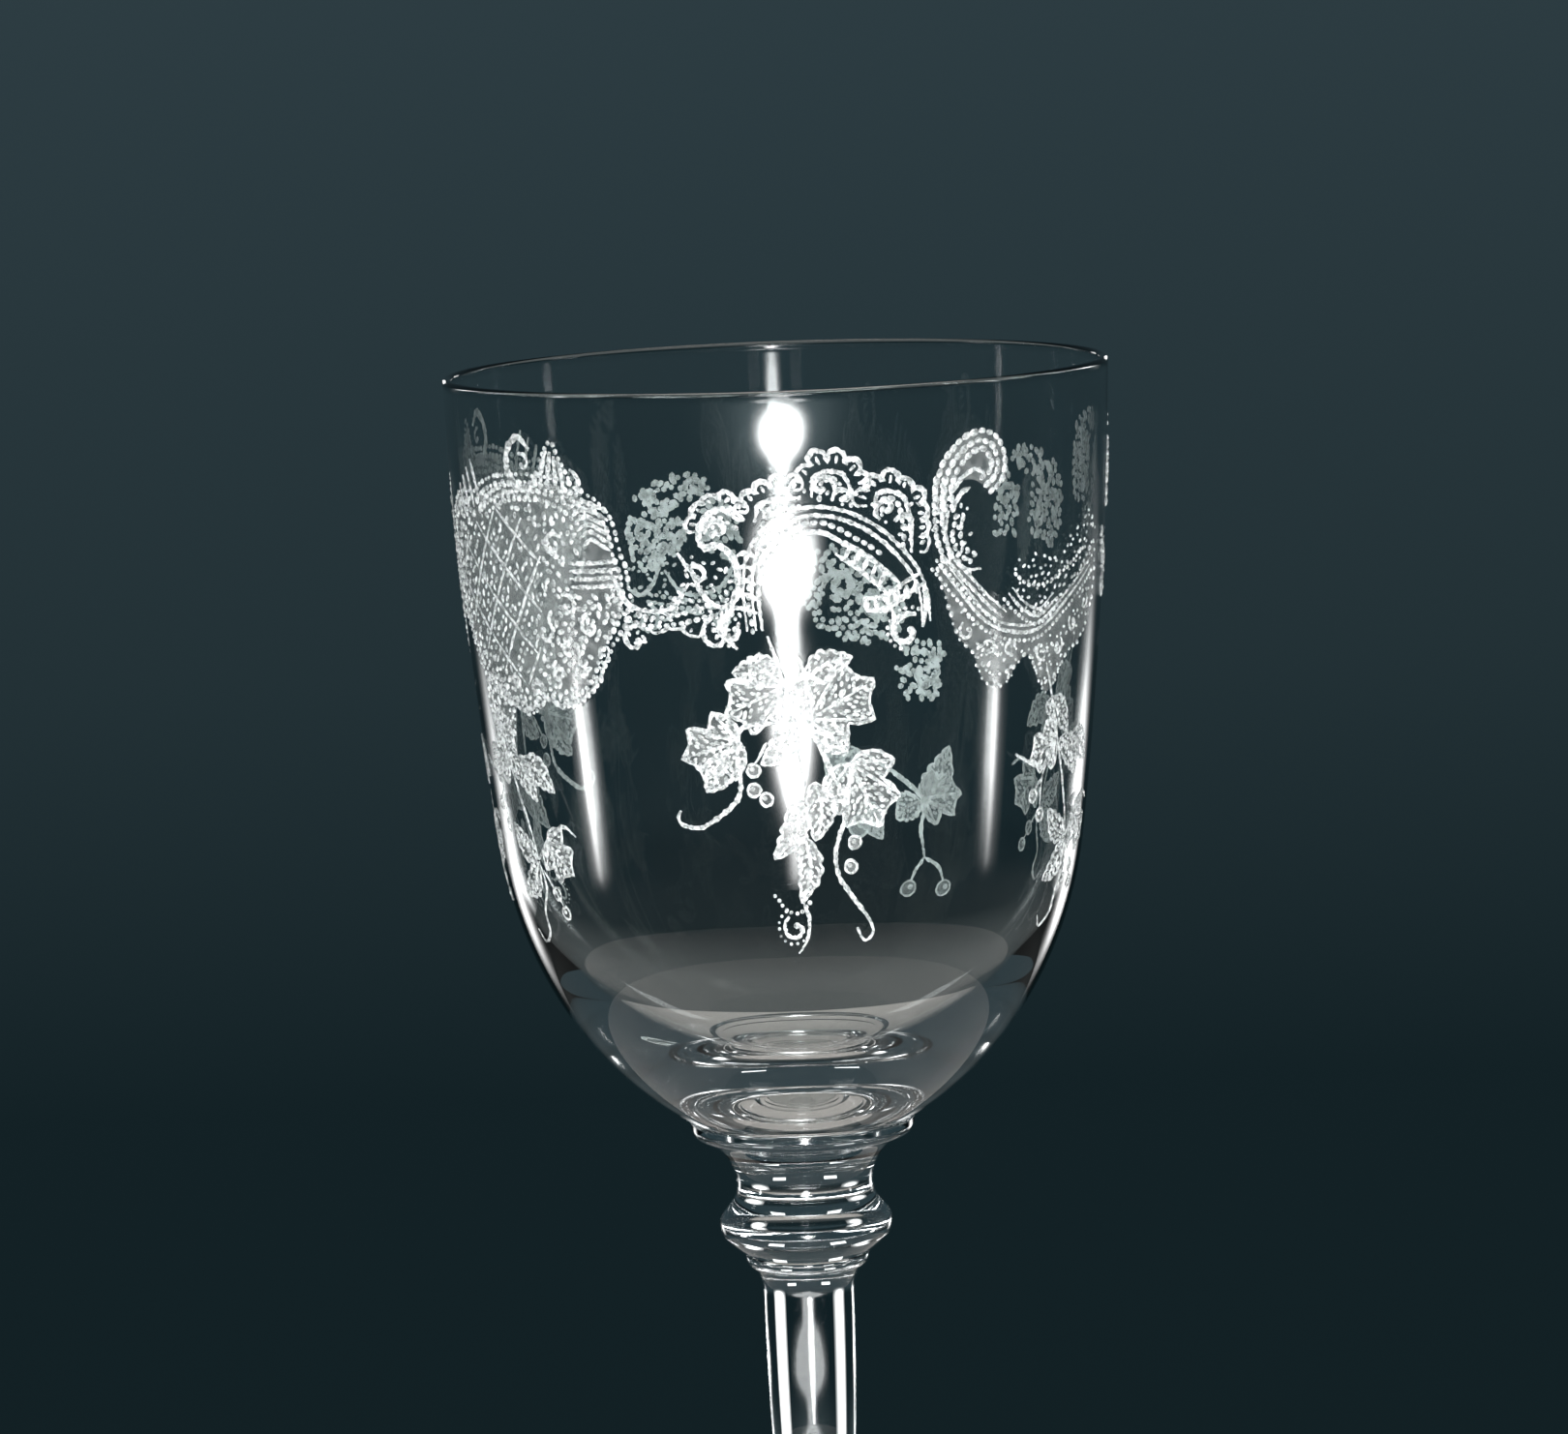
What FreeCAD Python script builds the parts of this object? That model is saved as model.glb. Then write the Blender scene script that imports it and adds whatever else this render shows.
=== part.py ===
import FreeCAD, Part
import math
import os

# A clear stemmed drinking glass. It stands on z = 0 with its axis on Z. Sizes are in millimetres.
# Each piece is one separately gathered bit of hot glass, welded face to face to its neighbours:
# from the top, bowl, collar, knop, knop ring, shank and foot.

# Bowl, outside: a nearly straight upper wall that leans in, then a rounded lower half
total_height = 165.0
mouth_radius = 39.0
rim_lean = 2.05              # degrees that the outer wall leans in just under the rim
shoulder_height = 109.0
shoulder_radius = 34.4
flank_height = 92.0
flank_radius = 28.9
bowl_seat_height = 75.6      # where the bowl's underside meets the edge of the collar
bowl_seat_radius = 13.15
bowl_seat_sag = 0.9          # the welded underside is a shallow dome, this much lower on the axis

# Bowl, inside: the wall thickens from the rim down to the floor
rim_wall = 1.1
inner_shoulder_radius = 33.0
inner_flank_height = 94.0
inner_flank_radius = 27.0
bowl_floor_height = 80.1     # inside, on the axis

# Collar: the thin round disc under the bowl
collar_radius = 13.3
collar_top_round = 0.35
collar_bottom_height = 73.4
collar_bottom_round = 1.35

# Knop: a flare, a short neck and a bulb in one piece of glass
flare_radius = 12.0          # the weld to the collar
neck_height = 67.6
neck_radius = 8.1
knop_cone_height = 65.3      # the neck has opened into a cone here
knop_cone_radius = 8.9
knop_shoulder_height = 64.0
knop_shoulder_radius = 9.95
knop_height = 62.9           # the widest point
knop_radius = 10.3
knop_under_height = 61.1
knop_under_radius = 9.55
knop_bottom_height = 59.2
knop_bottom_radius = 7.1     # the weld to the knop ring

# Knop ring: the small bead between the knop and the shank
ring_radius = 7.35
ring_top_round = 0.25
ring_bottom_height = 57.4
ring_bottom_radius = 6.2     # the weld to the shank

# Shank: slim and round, with a slight waist
shank_neck_height = 54.4
shank_neck_radius = 5.35
waist_height = 30.0
waist_radius = 4.6
shank_bottom_height = 8.0
shank_bottom_radius = 6.4    # the weld to the foot

# Foot: a round plate, high at its middle, on a narrow flat ring
foot_radius = 37.0
foot_hub_height = 4.9        # where the fillet round the shank runs out into the plate
foot_hub_radius = 13.0
foot_edge_height = 2.1
foot_edge_round = 0.95
land_outer_radius = 35.9     # the flat ring that stands on the table
land_inner_radius = 33.6
foot_hollow = 1.6            # how far the underside rises on the axis


class Outline:
    """A half-section in the XZ plane, drawn edge by edge. Angles are in radians from +X."""

    def __init__(self, radius, height, heading=0.0):
        self.start = FreeCAD.Vector(radius, 0, height)
        self.here = self.start
        self.heading = heading
        self.edges = []

    def line(self, radius, height):
        """A straight edge to the point."""
        end = FreeCAD.Vector(radius, 0, height)
        self.edges.append(Part.LineSegment(self.here, end).toShape())
        self.heading = math.atan2(end.z - self.here.z, end.x - self.here.x)
        self.here = end

    def smooth(self, radius, height):
        """An arc to the point that leaves in line with the edge before it."""
        end = FreeCAD.Vector(radius, 0, height)
        chord = end - self.here
        chord_angle = math.atan2(chord.z, chord.x)
        off_chord = math.remainder(self.heading - chord_angle, 2 * math.pi)
        left = FreeCAD.Vector(-chord.z, 0, chord.x)
        middle = (self.here + end) / 2 + left * (math.tan(off_chord / 2) / 2)
        self.edges.append(Part.Arc(self.here, middle, end).toShape())
        self.heading = chord_angle - off_chord
        self.here = end

    def turn(self, heading):
        """A corner: the next arc leaves at this angle in degrees."""
        self.heading = math.radians(heading)

    def solid(self):
        """The closed outline turned once round the Z axis."""
        if self.here.distanceToPoint(self.start) > 1e-6:
            self.line(self.start.x, self.start.z)
        face = Part.Face(Part.Wire(self.edges))
        return face.revolve(FreeCAD.Vector(0, 0, 0), FreeCAD.Vector(0, 0, 1), 360)


DOWN, OUT, UP, IN = -90.0, 0.0, 90.0, 180.0
half_rim = rim_wall / 2
seat_middle_height = bowl_seat_height - bowl_seat_sag


def bowl():
    """The cup, with a rounded fire-polished rim and a dome-shaped underside."""
    outline = Outline(mouth_radius, total_height - half_rim)
    outline.turn(DOWN - rim_lean)
    outline.smooth(shoulder_radius, shoulder_height)
    outline.smooth(flank_radius, flank_height)
    outline.smooth(bowl_seat_radius, bowl_seat_height)
    outline.turn(IN + 2 * math.degrees(math.atan2(bowl_seat_sag, bowl_seat_radius)))
    outline.smooth(0, seat_middle_height)
    outline.line(0, bowl_floor_height)
    outline.turn(OUT)
    outline.smooth(inner_flank_radius, inner_flank_height)
    outline.smooth(inner_shoulder_radius, shoulder_height)
    outline.smooth(mouth_radius - rim_wall, total_height - half_rim)
    outline.turn(UP)
    outline.smooth(mouth_radius, total_height - half_rim)
    return outline.solid()


def collar():
    """The disc that the bowl sits in, dished to take its underside."""
    outline = Outline(0, seat_middle_height)
    outline.turn(OUT)
    outline.smooth(bowl_seat_radius, bowl_seat_height)
    outline.turn(OUT)
    outline.smooth(collar_radius, bowl_seat_height - collar_top_round)
    outline.line(collar_radius, collar_bottom_height + collar_bottom_round)
    outline.smooth(flare_radius, collar_bottom_height)
    outline.line(0, collar_bottom_height)
    return outline.solid()


def knop():
    """The flare under the collar, the neck and the bulb."""
    outline = Outline(0, knop_bottom_height)
    outline.line(0, collar_bottom_height)
    outline.line(flare_radius, collar_bottom_height)
    flare_drop = collar_bottom_height - neck_height
    flare_reach = flare_radius - neck_radius
    outline.turn(IN + 2 * math.degrees(math.atan2(flare_drop, flare_reach)) - 90.0)
    outline.smooth(neck_radius, neck_height)
    outline.smooth(knop_cone_radius, knop_cone_height)
    outline.line(knop_shoulder_radius, knop_shoulder_height)
    outline.smooth(knop_radius, knop_height)
    outline.turn(DOWN)
    outline.smooth(knop_under_radius, knop_under_height)
    outline.smooth(knop_bottom_radius, knop_bottom_height)
    return outline.solid()


def knop_ring():
    """The bead, fuller at its top."""
    outline = Outline(0, ring_bottom_height)
    outline.line(0, knop_bottom_height)
    outline.line(knop_bottom_radius, knop_bottom_height)
    outline.smooth(ring_radius, knop_bottom_height - ring_top_round)
    outline.turn(DOWN)
    outline.smooth(ring_bottom_radius, ring_bottom_height)
    return outline.solid()


def shank():
    """The slim part of the stem, which opens towards the foot."""
    outline = Outline(0, shank_bottom_height)
    outline.line(0, ring_bottom_height)
    outline.line(ring_bottom_radius, ring_bottom_height)
    neck_drop = ring_bottom_height - shank_neck_height
    neck_reach = ring_bottom_radius - shank_neck_radius
    outline.turn(IN + 2 * math.degrees(math.atan2(neck_drop, neck_reach)) - 90.0)
    outline.smooth(shank_neck_radius, shank_neck_height)
    outline.smooth(waist_radius, waist_height)
    outline.smooth(shank_bottom_radius, shank_bottom_height)
    return outline.solid()


def foot():
    """The plate, with a fillet up to the shank and a hollow underside."""
    outline = Outline(land_inner_radius, 0)
    outline.line(land_outer_radius, 0)
    outline.smooth(foot_radius, foot_edge_height - foot_edge_round)
    outline.turn(UP)
    outline.smooth(foot_radius - foot_edge_round, foot_edge_height)
    outline.line(foot_hub_radius, foot_hub_height)
    outline.smooth(shank_bottom_radius, shank_bottom_height)
    outline.line(0, shank_bottom_height)
    outline.line(0, foot_hollow)
    outline.turn(OUT)
    outline.smooth(land_inner_radius, 0)
    return outline.solid()


pieces = {
    "bowl": bowl(),
    "collar": collar(),
    "knop": knop(),
    "knop_ring": knop_ring(),
    "shank": shank(),
    "foot": foot(),
}

os.makedirs("parts", exist_ok=True)
for node, shape in pieces.items():
    shape.exportStep("parts/" + node + ".step")
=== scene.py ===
import math
import random

import bmesh
import bpy
import numpy as np
from mathutils import Matrix, Vector
from mathutils.geometry import delaunay_2d_cdt


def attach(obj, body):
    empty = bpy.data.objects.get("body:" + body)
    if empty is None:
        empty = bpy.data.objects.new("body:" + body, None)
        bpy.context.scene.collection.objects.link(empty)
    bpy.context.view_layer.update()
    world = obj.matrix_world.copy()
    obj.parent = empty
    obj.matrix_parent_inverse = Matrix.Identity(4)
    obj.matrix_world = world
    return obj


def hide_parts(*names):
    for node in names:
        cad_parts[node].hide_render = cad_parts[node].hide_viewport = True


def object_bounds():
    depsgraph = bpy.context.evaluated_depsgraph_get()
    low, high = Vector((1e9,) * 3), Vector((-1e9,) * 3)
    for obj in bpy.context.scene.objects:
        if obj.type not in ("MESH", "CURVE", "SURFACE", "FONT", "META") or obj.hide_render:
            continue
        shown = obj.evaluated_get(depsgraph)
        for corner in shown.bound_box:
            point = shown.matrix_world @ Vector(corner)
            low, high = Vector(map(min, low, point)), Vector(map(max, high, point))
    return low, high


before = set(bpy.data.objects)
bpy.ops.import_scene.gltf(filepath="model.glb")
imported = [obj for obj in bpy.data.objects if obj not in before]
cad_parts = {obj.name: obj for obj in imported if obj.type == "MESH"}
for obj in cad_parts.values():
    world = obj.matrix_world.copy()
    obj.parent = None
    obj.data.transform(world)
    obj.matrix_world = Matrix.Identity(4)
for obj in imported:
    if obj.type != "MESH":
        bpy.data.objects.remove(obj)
cad_low, cad_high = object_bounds()
MM = 0.001
rim_height = cad_high.z / MM

# ---- turned glass
# The half-sections repeat the CAD's. Each named corner is a radius and a height in millimetres.
RIM_WALL = 1.1
RIM = (39.0, rim_height - RIM_WALL / 2)
INNER_RIM = (RIM[0] - RIM_WALL, RIM[1])
RIM_LEAN = 2.05                   # degrees that the outer wall leans in just under the rim
SHOULDER, INNER_SHOULDER = (34.4, 109.0), (33.0, 109.0)
FLANK, INNER_FLANK = (28.9, 92.0), (27.0, 94.0)
FLOOR_TOP = 80.1
SEAT = (13.15, 75.6)              # where the bowl's underside meets the edge of the collar
SEAT_SAG = 0.9
SEAT_MIDDLE = SEAT[1] - SEAT_SAG
COLLAR_RADIUS, COLLAR_TOP_ROUND, COLLAR_BOTTOM_ROUND = 13.3, 0.35, 1.35
COLLAR_WELD = (12.0, 73.4)
NECK = (8.1, 67.6)
KNOP_CONE, KNOP_SHOULDER, KNOP_WIDEST = (8.9, 65.3), (9.95, 64.0), (10.3, 62.9)
KNOP_UNDER = (9.55, 61.1)
KNOP_WELD = (7.1, 59.2)
RING_RADIUS, RING_TOP_ROUND = 7.35, 0.25
RING_WELD = (6.2, 57.4)
SHANK_NECK, WAIST = (5.35, 54.4), (4.6, 30.0)
SHANK_WELD = (6.4, 8.0)
FOOT_RADIUS, FOOT_EDGE, FOOT_EDGE_ROUND = 37.0, 2.1, 0.95
FOOT_HUB = (13.0, 4.9)
LAND_OUTER, LAND_INNER = 35.9, 33.6   # the flat ring that stands on the table
FOOT_HOLLOW = 1.6

DOWN, OUT, UP, IN = -90.0, 0.0, 90.0, 180.0   # headings in degrees
SEGMENTS = 288                    # round each turned piece
STRAIGHT_STEP = 2.0               # mm along a straight edge
SHARPEST_BEND = math.radians(6)   # between two edges of a sampled arc


class Outline:
    """A half-section in millimetres, drawn edge by edge as in the CAD, and sampled along its arcs."""

    def __init__(self, radius, height):
        self.points = [(radius, height)]
        self.welds = []
        self.heading = 0.0

    def _add(self, points, weld):
        self.points += points
        self.welds += [weld] * len(points)

    def line(self, radius, height, weld=False):
        """A straight edge. On the axis it makes no faces."""
        r, z = self.points[-1]
        self.heading = math.atan2(height - z, radius - r)
        length = math.hypot(radius - r, height - z)
        steps = 1 if weld or r == radius == 0 else max(1, round(length / STRAIGHT_STEP))
        self._add([(r + (radius - r) * i / steps, z + (height - z) * i / steps)
                   for i in range(1, steps + 1)], weld)
        return self

    def smooth(self, radius, height, weld=False, step=0.9):
        """An arc that leaves in line with the edge before it, in steps of at most about step mm."""
        r, z = self.points[-1]
        chord = math.hypot(radius - r, height - z)
        chord_angle = math.atan2(height - z, radius - r)
        off = math.remainder(self.heading - chord_angle, 2 * math.pi)
        straight = abs(off) < 1e-9
        arc = chord if straight else chord * off / math.sin(off)
        steps = max(3, round(arc / step), round(2 * abs(off) / SHARPEST_BEND))
        points = []
        for i in range(1, steps):
            t = i / steps
            reach = chord * t if straight else chord * math.sin(off * t) / math.sin(off)
            along = self.heading - off * t
            points.append((r + reach * math.cos(along), z + reach * math.sin(along)))
        self._add(points + [(radius, height)], weld)
        self.heading = chord_angle - off
        return self

    def turn(self, degrees):
        """A corner: the next arc leaves at this heading."""
        self.heading = math.radians(degrees)
        return self


def turned(name, outline):
    """A closed mesh: the outline turned round Z. Weld edges get the second material slot."""
    verts, rings = [], {}
    for radius, height in dict.fromkeys(outline.points):
        count = SEGMENTS if radius > 0 else 1
        rings[radius, height] = [len(verts) + k % count for k in range(SEGMENTS)]
        for k in range(count):
            angle = 2 * math.pi * k / SEGMENTS
            verts.append((radius * MM * math.cos(angle), radius * MM * math.sin(angle), height * MM))
    track = [rings[point] for point in outline.points]
    faces, slots = [], []
    for here, there, is_weld in zip(track, track[1:], outline.welds):
        for k in range(SEGMENTS):
            n = (k + 1) % SEGMENTS
            # On the axis two corners are one point
            face = list(dict.fromkeys((here[k], here[n], there[n], there[k])))
            if len(face) > 2:
                faces.append(face)
                slots.append(int(is_weld))
    mesh = bpy.data.meshes.new(name)
    mesh.from_pydata(verts, [], faces)
    mesh.polygons.foreach_set("material_index", slots)
    outward = bmesh.new()
    outward.from_mesh(mesh)
    bmesh.ops.recalc_face_normals(outward, faces=outward.faces)
    outward.to_mesh(mesh)
    outward.free()
    mesh.shade_smooth()
    mesh.set_sharp_from_angle(angle=math.radians(40))
    return linked(name, mesh)


def linked(name, data):
    """A new object in the scene."""
    obj = bpy.data.objects.new(name, data)
    bpy.context.scene.collection.objects.link(obj)
    return obj


def bowl_outline():
    """The cup: down the outside, across the seat, up the inside and over the rim."""
    outline = Outline(*RIM).turn(DOWN - RIM_LEAN).smooth(*SHOULDER).smooth(*FLANK).smooth(*SEAT)
    outline.turn(IN + 2 * math.degrees(math.atan2(SEAT_SAG, SEAT[0]))).smooth(0, SEAT_MIDDLE, weld=True)
    outline.line(0, FLOOR_TOP).turn(OUT).smooth(*INNER_FLANK).smooth(*INNER_SHOULDER).smooth(*INNER_RIM)
    return outline.turn(UP).smooth(*RIM, step=0.15)


def collar_outline():
    """The disc that the bowl sits in."""
    outline = Outline(0, SEAT_MIDDLE).turn(OUT).smooth(*SEAT, weld=True)
    outline.turn(OUT).smooth(COLLAR_RADIUS, SEAT[1] - COLLAR_TOP_ROUND, step=0.1)
    outline.line(COLLAR_RADIUS, COLLAR_WELD[1] + COLLAR_BOTTOM_ROUND).smooth(*COLLAR_WELD, step=0.1)
    return outline.line(0, COLLAR_WELD[1], weld=True)


def flare_heading(weld, neck):
    """The heading at which an arc leaves the weld so that it arrives at the neck going straight down."""
    return IN + 2 * math.degrees(math.atan2(weld[1] - neck[1], weld[0] - neck[0])) - 90


def knop_outline():
    """The flare under the collar, the neck and the bulb."""
    outline = Outline(0, KNOP_WELD[1]).line(0, COLLAR_WELD[1]).line(*COLLAR_WELD, weld=True)
    outline.turn(flare_heading(COLLAR_WELD, NECK)).smooth(*NECK, step=0.2)
    outline.smooth(*KNOP_CONE, step=0.2).line(*KNOP_SHOULDER).smooth(*KNOP_WIDEST, step=0.1)
    outline.turn(DOWN).smooth(*KNOP_UNDER, step=0.2).smooth(*KNOP_WELD, step=0.2)
    return outline.line(0, KNOP_WELD[1], weld=True)


def ring_outline():
    """The bead under the knop."""
    outline = Outline(0, RING_WELD[1]).line(0, KNOP_WELD[1]).line(*KNOP_WELD, weld=True)
    outline.smooth(RING_RADIUS, KNOP_WELD[1] - RING_TOP_ROUND, step=0.05)
    return outline.turn(DOWN).smooth(*RING_WELD, step=0.12).line(0, RING_WELD[1], weld=True)


def shank_outline():
    """The slim part of the stem."""
    outline = Outline(0, SHANK_WELD[1]).line(0, RING_WELD[1]).line(*RING_WELD, weld=True)
    outline.turn(flare_heading(RING_WELD, SHANK_NECK)).smooth(*SHANK_NECK, step=0.2)
    return outline.smooth(*WAIST).smooth(*SHANK_WELD, step=0.6).line(0, SHANK_WELD[1], weld=True)


def foot_outline():
    """The plate, with a fillet up to the shank and a hollow underside."""
    outline = Outline(LAND_INNER, 0).line(LAND_OUTER, 0)
    outline.smooth(FOOT_RADIUS, FOOT_EDGE - FOOT_EDGE_ROUND, step=0.15)
    outline.turn(UP).smooth(FOOT_RADIUS - FOOT_EDGE_ROUND, FOOT_EDGE, step=0.15)
    outline.line(*FOOT_HUB).smooth(*SHANK_WELD, step=0.4).line(0, SHANK_WELD[1], weld=True)
    return outline.line(0, FOOT_HOLLOW).turn(OUT).smooth(LAND_INNER, 0)


def new_material(name):
    """A material with its node tree, its Principled shader and its surface socket."""
    material = bpy.data.materials.new(name)
    material.use_nodes = True
    nodes = material.node_tree.nodes
    return material, material.node_tree, nodes["Principled BSDF"], nodes["Material Output"].inputs["Surface"]


def settings(node, values):
    """Sets a node's sockets by name."""
    for name, value in values.items():
        node.inputs[name].default_value = value


def noise_colour(tree, shader, scale, detail, dark, pale, roughness=0.5, span=(0.0, 1.0)):
    """Gives the shader a colour between dark and pale by a noise fixed to the object. Returns the noise."""
    coord = tree.nodes.new("ShaderNodeTexCoord")
    noise = tree.nodes.new("ShaderNodeTexNoise")
    settings(noise, {"Scale": scale, "Detail": detail, "Roughness": roughness})
    ramp = tree.nodes.new("ShaderNodeValToRGB")
    for k, colour in enumerate((dark, pale)):
        ramp.color_ramp.elements[k].position = span[k]
        ramp.color_ramp.elements[k].color = (*colour, 1)
    tree.links.new(coord.outputs["Object"], noise.inputs["Vector"])
    tree.links.new(noise.outputs["Fac"], ramp.inputs["Fac"])
    tree.links.new(ramp.outputs["Color"], shader.inputs["Base Color"])
    return noise.outputs["Fac"]


def glass_material():
    """Clear glass with a faint ripple, which lets light straight through to what lies behind it."""
    material, tree, shader, surface = new_material("clear_glass")
    noise = noise_colour(tree, shader, 60, 1, (0.85, 0.88, 0.88), (0.92, 0.94, 0.94))
    ripple = tree.nodes.new("ShaderNodeBump")
    settings(ripple, {"Strength": 0.35, "Distance": 0.0001})
    tree.links.new(noise, ripple.inputs["Height"])
    tree.links.new(ripple.outputs["Normal"], shader.inputs["Normal"])
    settings(shader, {"Roughness": 0.0, "IOR": 1.52, "Transmission Weight": 1.0})
    shadow = tree.nodes.new("ShaderNodeBsdfTransparent")
    settings(shadow, {"Color": (0.9, 0.92, 0.92, 1)})
    path = tree.nodes.new("ShaderNodeLightPath")
    mix = tree.nodes.new("ShaderNodeMixShader")
    tree.links.new(path.outputs["Is Shadow Ray"], mix.inputs[0])
    tree.links.new(shader.outputs[0], mix.inputs[1])
    tree.links.new(shadow.outputs[0], mix.inputs[2])
    tree.links.new(mix.outputs[0], surface)
    return material


def weld_material():
    """For the faces where two pieces are fused. No surface shows there."""
    material, tree, shader, surface = new_material("weld")
    tree.nodes.remove(shader)
    tree.links.new(tree.nodes.new("ShaderNodeBsdfTransparent").outputs[0], surface)
    return material


clear = glass_material()
fused = weld_material()
for node, outline in {
    "bowl": bowl_outline(), "collar": collar_outline(), "knop": knop_outline(),
    "knop_ring": ring_outline(), "shank": shank_outline(), "foot": foot_outline(),
}.items():
    piece = turned("glass_" + node, outline)
    piece.data.materials.append(clear)
    piece.data.materials.append(fused)
    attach(piece, "root")
    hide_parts(node)

# ---- etched ornament
# Motifs are drawn on a flat sheet and then laid on the bowl's outer wall. A motif's points are degrees
# round the wall, from the front to the right, and mm above the rim, so a place under the rim is negative.
# On the sheet both are millimetres, with the degrees measured at SHEET_RADIUS.
SHEET_RADIUS = 37.0
ARC = math.radians(SHEET_RADIUS)  # sheet mm in one degree
LIFT = 0.03                       # mm from the wall to the underside of a line or a pearl
FROST_LIFT, FROST_DEPTH = 0.012, 0.014
LAYERS, LAYER_STEP = 6, 0.0015    # frosted sheets that overlap lie at different lifts
rng = random.Random(11)

corners = bowl_outline().points
outer_wall = np.array(corners[:corners.index(SEAT) + 1])[::-1]
wall_r, wall_z = outer_wall.T
wall_slope = np.gradient(wall_r, wall_z)


def on_wall(x, y, lift):
    """Places in metres for sheet points x, y, lifted off the wall by lift mm."""
    z = rim_height + y
    r = np.interp(z, wall_z, wall_r)
    slope = np.interp(z, wall_z, wall_slope)
    square = 1 / np.sqrt(1 + slope ** 2)
    r = r + lift * square
    z = z - lift * slope * square
    angle = x / SHEET_RADIUS
    return np.stack([r * np.sin(angle), -r * np.cos(angle), z], axis=-1) * MM


def sheet(points):
    """A motif's points as sheet millimetres."""
    return np.array([(degrees * ARC, height) for degrees, height in points], float)


def spaced(path, step, closed=False):
    """The same path as evenly spaced points."""
    if closed:
        path = np.vstack([path, path[:1]])
    length = np.concatenate([[0], np.cumsum(np.hypot(*np.diff(path, axis=0).T))])
    count = max(2, round(length[-1] / step))
    at = np.linspace(0, length[-1], count + 1)
    even = np.stack([np.interp(at, length, path[:, 0]), np.interp(at, length, path[:, 1])], axis=1)
    return even[:-1] if closed else even


def curve(points, closed=False, step=0.3, flat=False):
    """A smooth path through the points (Catmull-Rom). Flat points are already in sheet millimetres."""
    p = np.asarray(points, float) if flat else sheet(points)
    if len(p) == 2:
        return spaced(p, step)
    if closed:
        p = np.vstack([p[-1:], p, p[:2]])
    else:
        p = np.vstack([2 * p[0] - p[1], p, 2 * p[-1] - p[-2]])
    t = np.linspace(0, 1, 9)[:-1, None]
    spans = []
    for a, b, c, d in zip(p, p[1:], p[2:], p[3:]):
        spans.append(0.5 * (2 * b + (c - a) * t + (2 * a - 5 * b + 4 * c - d) * t ** 2
                            + (3 * b - a - 3 * c + d) * t ** 3))
    if not closed:
        spans.append(p[-2:-1])
    return spaced(np.vstack(spans), step, closed)


def loop(points, step=0.6):
    """A smooth closed outline through the points."""
    return curve(points, closed=True, step=step)


def fine(outline):
    """The same outline in short steps, for beads along it."""
    return spaced(outline, 0.3, closed=True)


def curl(centre, radius, start, sweep, end):
    """A spiral about centre: from start degrees through sweep degrees, down to end times its radius."""
    t = np.linspace(0, 1, max(8, round(abs(sweep) / 12)))
    angle = np.radians(start + sweep * t)
    reach = radius * (1 + (end - 1) * t)
    return spaced(sheet([centre])[0] + np.stack([reach * np.cos(angle), reach * np.sin(angle)], axis=1), 0.25)


def left_of(path, closed):
    """The unit vectors to the left of a path, one at each point."""
    along = np.roll(path, -1, 0) - np.roll(path, 1, 0) if closed else np.gradient(path, axis=0)
    along /= np.maximum(np.hypot(along[:, 0], along[:, 1]), 1e-9)[:, None]
    return np.stack([-along[:, 1], along[:, 0]], axis=1)


def shifted(path, by, closed=False):
    """A path beside this one, by mm to its left."""
    return path + left_of(path, closed) * by


def inside(points, polygon):
    """Which of the points lie inside the polygon."""
    x, y = points[:, 0], points[:, 1]
    hit = np.zeros(len(points), bool)
    for (x0, y0), (x1, y1) in zip(polygon, np.roll(polygon, -1, 0)):
        crosses = (y0 > y) != (y1 > y)
        hit ^= crosses & (x < (x1 - x0) * (y - y0) / (y1 - y0 + 1e-12) + x0)
    return hit


def heading(vector):
    """Its angle on the sheet in degrees."""
    return math.degrees(math.atan2(vector[1], vector[0]))


# The two back slots take darker copies of the etched materials: painted shade on the undersides of the lines,
# pearls and frost.
LINE, FROST, BACK_LINE_SHADED, BACK_FROST_SHADED = 0, 1, 2, 3   # material slots


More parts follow.
